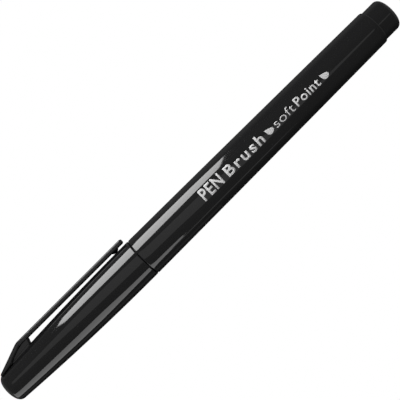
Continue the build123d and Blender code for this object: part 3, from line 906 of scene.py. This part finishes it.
def film_material():
    """Clear wrap with faint creases."""
    material, nodes, links = new_material("clear_wrap")
    place = nodes.new("ShaderNodeTexCoord")
    creases = nodes.new("ShaderNodeTexNoise")
    creases.inputs["Scale"].default_value = 400
    creases.inputs["Detail"].default_value = 2
    gloss = nodes.new("ShaderNodeMapRange")
    gloss.inputs["To Min"].default_value = 0.05
    gloss.inputs["To Max"].default_value = 0.25
    bump = nodes.new("ShaderNodeBump")
    bump.inputs["Distance"].default_value = 0.02 * MM
    shader = nodes.new("ShaderNodeBsdfPrincipled")
    shader.inputs["Base Color"].default_value = (0.93, 0.95, 0.97, 1)
    shader.inputs["Transmission Weight"].default_value = 1.0
    shader.inputs["IOR"].default_value = 1.45
    output = nodes.new("ShaderNodeOutputMaterial")
    links.new(place.outputs["Object"], creases.inputs["Vector"])
    links.new(creases.outputs["Fac"], gloss.inputs["Value"])
    links.new(creases.outputs["Fac"], bump.inputs["Height"])
    links.new(gloss.outputs["Result"], shader.inputs["Roughness"])
    links.new(bump.outputs["Normal"], shader.inputs["Normal"])
    links.new(shader.outputs["BSDF"], output.inputs["Surface"])
    return material


finish_node("reservoir_core", inked_felt)
finish_node("reservoir_film", film_material())
natural_plastic = plastic(
    "natural_liner_plastic", (0.62, 0.63, 0.60), 0.42, 0.3, 0.03, 0.6, grain=0.1
)
finish_node("breather_tube", natural_plastic)

# ------------------------------------------------------------------ cap
# The cap is a second moulded shell of the same glossy black. It is straight at its mouth, then
# draws in along one long curve to a closed end with a rounded rim and a nearly flat face. A liner
# of undyed plastic inside it seals round the pen's nose.

cap_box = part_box("cap_shell")
CAP_MOUTH_X = cap_box[0].x / MM + SEAM_EASE
CAP_END_X = cap_box[1].x / MM
CAP_CURVE_START = SEAM_X + 2.5
CAP_CURVE_END = CAP_END_X - 1.45
CAP_END_RADIUS = 4.24
CAP_MOUTH_ROUNDING = 0.28
CAP_BORE = 4.75
LINER_SEAT = 3.52
CAVITY_END = 138.2
CAP_RIM = (CAP_END_X - 0.18, 2.74)
CAP_RIM_MIDDLE = (CAP_END_X - 0.57, 3.77)

cap_run = CAP_CURVE_END - CAP_CURVE_START
cap_drop = BODY_RADIUS - CAP_END_RADIUS
cap_arc = (cap_run**2 + cap_drop**2) / (2 * cap_drop)


def cap_radius_at(x):
    """The cap's outer radius at a station."""
    run = max(0.0, x - CAP_CURVE_START)
    return BODY_RADIUS - cap_arc + math.sqrt(cap_arc**2 - run**2)


cap_curve = [
    (CAP_CURVE_START + cap_run * step / 30, cap_radius_at(CAP_CURVE_START + cap_run * step / 30))
    for step in range(31)
]
crown_steps = 5
cap_crown = CAP_END_X - CAP_RIM[0]
crown = [
    (CAP_END_X - cap_crown * (1 - step / crown_steps) ** 2, CAP_RIM[1] * (1 - step / crown_steps))
    for step in range(1, crown_steps)
]
cap_shell = turned(
    "cap_shell_body",
    rounded(
        [
            (CAVITY_END, LINER_SEAT - 0.4),
            (CAVITY_END - 0.4, LINER_SEAT),
            (127.0, LINER_SEAT),
            (115.0, 4.22),
            (102.8, CAP_BORE - 0.2),
            (101.6, CAP_BORE),
            (CAP_MOUTH_X + 0.5, CAP_BORE),
            (CAP_MOUTH_X, CAP_BORE + 0.2),
            (CAP_MOUTH_X, BODY_RADIUS, CAP_MOUTH_ROUNDING),
        ]
        + cap_curve[:-1]
        + arc_through(cap_curve[-1], CAP_RIM_MIDDLE, CAP_RIM, 10)
        + crown
        + [(CAP_END_X, 0)]
    ),
    start_pole=CAVITY_END,
)
cap_shell.data.materials.append(gloss_black)
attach(cap_shell, "cap")
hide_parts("cap_shell")
finish_node("inner_cap", natural_plastic)

# ------------------------------------------------------------------ clip
# The clip is one springy moulded strip. Its arm lies along the cap and ends in a small rounded bump
# that touches it; past the knee it slopes down to the cap's closed end, where a narrower web
# carries it on a low pad. The foot below is pressed into the cap.

CLIP_OUT = 7.62
CLIP_THICKNESS = 1.31
CLIP_TIP_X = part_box("clip_arm")[0].x / MM
CLIP_FOOT_X = 138.27
CLIP_TIP_WIDTH, CLIP_ROOT_WIDTH = 3.8, 4.6
CLIP_EDGE_ROUNDING = 0.42
KNEE = (129.8, CLIP_OUT)
KNEE_ROUNDING = 4.0
RAMP_FOOT = (CLIP_FOOT_X, 4.55)
TIP_OUTER_ROUNDING, TIP_INNER_ROUNDING = 0.3, 0.5


def height_on(line, x):
    """The height of a drawn line at a station."""
    for (x1, h1), (x2, h2) in zip(line, line[1:]):
        if x <= x2:
            return h1 + (h2 - h1) * (x - x1) / (x2 - x1)
    return line[-1][1]


def plate(name, stations, width_at, top, bottom, edge_rounding):
    """A strip of rounded section, drawn out station by station along X, with its height on Z."""
    x0 = stations[0]
    high, low = height_on(top, x0), height_on(bottom, x0)
    bpy.ops.object.select_all(action="DESELECT")
    bpy.ops.mesh.primitive_plane_add(size=1, rotation=(0, math.pi / 2, 0))
    piece = bpy.context.object
    piece.name = piece.data.name = name
    first_high, first_low = height_on(top, stations[len(stations) // 2]), height_on(
        bottom, stations[len(stations) // 2]
    )
    piece.scale = ((first_high - first_low) * MM, width_at(x0) * MM, 1)
    bpy.ops.object.transform_apply(location=True, rotation=True, scale=True)
    bpy.ops.object.mode_set(mode="EDIT")
    bpy.ops.mesh.select_all(action="SELECT")
    bpy.ops.mesh.bevel(
        affect="VERTICES", offset=edge_rounding * MM, offset_type="OFFSET", segments=6
    )
    bpy.ops.mesh.select_all(action="SELECT")
    bpy.ops.transform.translate(value=(x0 * MM, 0, (high + low) / 2 * MM))
    bpy.ops.transform.resize(
        value=(1, 1, (high - low) / (first_high - first_low)),
        center_override=(x0 * MM, 0, (high + low) / 2 * MM), orient_type="GLOBAL",
    )
    for x1 in stations[1:]:
        new_high, new_low = height_on(top, x1), height_on(bottom, x1)
        middle, new_middle = (high + low) / 2, (new_high + new_low) / 2
        bpy.ops.mesh.extrude_region_move(
            TRANSFORM_OT_translate={
                "value": ((x1 - x0) * MM, 0, (new_middle - middle) * MM), "orient_type": "GLOBAL"
            }
        )
        bpy.ops.transform.resize(
            value=(1, width_at(x1) / width_at(x0), (new_high - new_low) / (high - low)),
            center_override=(x1 * MM, 0, new_middle * MM), orient_type="GLOBAL",
        )
        x0, high, low = x1, new_high, new_low
    bpy.ops.mesh.select_all(action="SELECT")
    bpy.ops.mesh.normals_make_consistent(inside=False)
    bpy.ops.object.mode_set(mode="OBJECT")
    return piece


def clip_width(x):
    """The clip narrows evenly from its root to its tip, with its corners there just rounded."""
    share = (x - CLIP_TIP_X) / (CLIP_FOOT_X - CLIP_TIP_X)
    width = CLIP_TIP_WIDTH + share * (CLIP_ROOT_WIDTH - CLIP_TIP_WIDTH)
    inset = max(0.0, 0.5 - (x - CLIP_TIP_X))
    return width - 2 * (0.5 - math.sqrt(max(0.0, 0.25 - inset**2)))


clip_top = rounded(
    [
        (CLIP_TIP_X, CLIP_OUT - TIP_OUTER_ROUNDING - 0.02),
        (CLIP_TIP_X + 0.001, CLIP_OUT, TIP_OUTER_ROUNDING),
        (*KNEE, KNEE_ROUNDING),
        RAMP_FOOT,
    ],
    steps=12,
)
under = CLIP_OUT - CLIP_THICKNESS
clip_bottom = rounded(
    [
        (CLIP_TIP_X, under + TIP_INNER_ROUNDING + 0.02),
        (CLIP_TIP_X + 0.001, under, TIP_INNER_ROUNDING),
        (129.5, under, 2.6),
        (132.9, 5.12, 1.2),
        (134.3, 4.25, 1.0),
        (CLIP_FOOT_X, 3.75),
    ],
    steps=8,
)
clip_stations = sorted(
    {round(x, 3) for x, _ in clip_top[1:] + clip_bottom[1:]}
    | {round(CLIP_TIP_X + 0.5 + 1.2 * count, 3) for count in range(29)}
    | {round(124.6 + 0.2 * count, 3) for count in range(14)}
    | {round(CLIP_TIP_X + inset, 3) for inset in (0.02, 0.06, 0.12, 0.2, 0.3, 0.4)}
)
clip_stations = [clip_stations[0]] + [
    x for last, x in zip(clip_stations, clip_stations[1:]) if x - last > 0.004
]
clip = plate("clip_strip", clip_stations, clip_width, clip_top, clip_bottom, CLIP_EDGE_ROUNDING)

WEB_WIDTH = 2.7
PAD_WIDTH = 3.1


def web_width(x):
    return WEB_WIDTH


def pad_width(x):
    return PAD_WIDTH


web_bottom = [(127.10, 6.36), (127.16, 6.14), (127.28, 5.80), (127.42, 5.40), (127.54, 5.0),
              (127.60, 4.70), (127.64, 4.35), (136.8, 3.75)]
web = plate("clip_web", [x for x, _ in web_bottom] + [137.0], web_width,
            [(126.4, 6.62), (129.9, 6.62), (133.2, 5.6), (137.0, 4.5)], web_bottom, 0.06)
pad = plate("clip_pad", [127.72, 128.4, 130.0, 132.0, 133.0, 134.0], pad_width,
            [(127.0, 5.30), (133.0, 4.70), (134.0, 4.4)],
            [(127.0, 4.3), (134.0, 3.9)], 0.1)
join_solid(web, pad)

BUMP_X = 94.8
BUMP_HALF = 1.2
BUMP_LOW = 5.773
bump_rings = [(6.5, BUMP_HALF), (under, BUMP_HALF), (6.22, 1.10), (6.08, 0.94), (5.95, 0.79),
              (5.86, 0.66), (5.80, 0.54), (5.778, 0.36)]
bpy.ops.object.select_all(action="DESELECT")
bpy.ops.mesh.primitive_circle_add(
    vertices=48, radius=BUMP_HALF * MM, location=(BUMP_X * MM, 0, bump_rings[0][0] * MM)
)
clip_bump = bpy.context.object
bpy.ops.object.transform_apply(location=True, rotation=True, scale=True)
bpy.ops.object.mode_set(mode="EDIT")
bpy.ops.mesh.select_all(action="SELECT")
bpy.ops.mesh.edge_face_add()
for (z0, r0), (z1, r1) in zip(bump_rings, bump_rings[1:]):
    bpy.ops.mesh.extrude_region_move(
        TRANSFORM_OT_translate={"value": (0, 0, (z1 - z0) * MM), "orient_type": "GLOBAL"}
    )
    bpy.ops.transform.resize(
        value=(r1 / r0, r1 / r0, 1), center_override=(BUMP_X * MM, 0, z1 * MM), orient_type="GLOBAL"
    )
bpy.ops.mesh.extrude_region_move(
    TRANSFORM_OT_translate={"value": (0, 0, (BUMP_LOW - bump_rings[-1][0]) * MM)}
)
bpy.ops.mesh.merge(type="CENTER")
bpy.ops.mesh.select_all(action="SELECT")
bpy.ops.mesh.remove_doubles(threshold=1e-6)
bpy.ops.mesh.normals_make_consistent(inside=False)
bpy.ops.object.mode_set(mode="OBJECT")
join_solid(clip, clip_bump)
join_solid(clip, web)
clip.rotation_euler = (math.atan2(clip_side.z, clip_side.y) - math.pi / 2, 0, 0)
bpy.ops.object.select_all(action="DESELECT")
clip.select_set(True)
bpy.context.view_layer.objects.active = clip
bpy.ops.object.transform_apply(location=True, rotation=True, scale=True)
finish_mesh(clip, crease=28)

clip_black = plastic("clip_black_plastic", (0.0060, 0.0060, 0.0064), 0.10, 0.3, 0.08, 1.0)
clip.data.materials.append(clip_black)
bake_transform(clip)
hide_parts("clip_root", "clip_arm")
